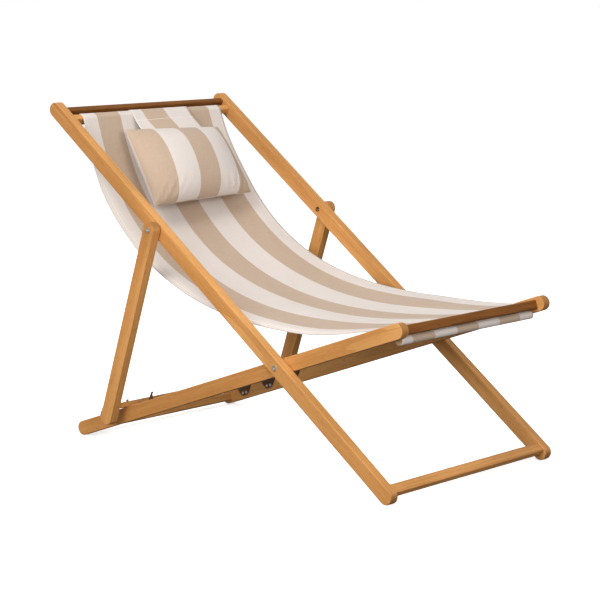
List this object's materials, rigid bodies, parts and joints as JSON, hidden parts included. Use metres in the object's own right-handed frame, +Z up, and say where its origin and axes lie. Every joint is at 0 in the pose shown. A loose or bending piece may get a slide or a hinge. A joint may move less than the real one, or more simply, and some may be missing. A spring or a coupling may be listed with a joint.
{
  "type": "folding sling deck chair",
  "caption": "Wooden folding deck chair with hinged rail frames, a hooked prop for the recline, a hung striped canvas sling and a padded head pillow.",
  "frame": {"origin": "centre of the bottom of the chair's bounding box, on the floor between the feet", "axes": "+X across the chair to the sitter's left, -Y the way the sitter faces, +Z up"},
  "size_m": [0.6054, 1.027, 0.7709],
  "materials": {
    "wood": "satin, oiled reddish-brown hardwood",
    "dark_wood": "satin, darker stained hardwood",
    "bright_steel": "zinc-plated",
    "dark_iron": "dark brown, dull",
    "canvas": "woven cotton canvas, beige and cream stripes along its length",
    "pillow_canvas": "woven cotton canvas, beige and cream stripes along its length, filled"
  },
  "bodies": {
    "back_frame": {"back_rail_right": "wood", "back_rail_left": "wood", "head_end_bar": "dark_wood", "head_sling_bar": "wood", "front_foot_bar": "wood", "seat_pivot_bolts": "bright_steel", "seat_pivot_washers": "bright_steel", "seat_pivot_nuts": "bright_steel", "prop_pivot_bolts": "bright_steel", "prop_pivot_washers": "bright_steel", "prop_pivot_nuts": "bright_steel", "head_dowel": "wood", "sling": "canvas", "pillow_flap": "canvas", "pillow": "pillow_canvas"},
    "seat_frame": {"seat_rail_right": "wood", "seat_rail_left": "wood", "seat_end_bar": "dark_wood", "seat_sling_bar": "wood", "rear_foot_bar": "wood", "hook_right_rear": "dark_iron", "hook_right_middle": "dark_iron", "hook_right_front": "dark_iron", "hook_left_rear": "dark_iron", "hook_left_middle": "dark_iron", "hook_left_front": "dark_iron", "hook_screws_right": "bright_steel", "hook_screws_left": "bright_steel", "seat_dowel": "wood"},
    "prop_frame": {"prop_leg_right": "wood", "prop_leg_left": "wood", "prop_bar": "wood"}
  },
  "joints": [
    {"name": "seat_fold", "type": "hinge", "parent": "back_frame", "child": "seat_frame", "pos_m": [0, -0.18801, 0.24271], "axis": [1, 0, 0], "range_deg": [0, 52], "deforming": ["sling", "pillow"]},
    {"name": "prop_fold", "type": "hinge", "parent": "back_frame", "child": "prop_frame", "pos_m": [0, 0.16611, 0.50722], "axis": [1, 0, 0], "range_deg": [0, 104]}
  ],
  "couplings": [
    {"joint": "prop_fold", "follows": "seat_fold", "ratio": 2}
  ]
}
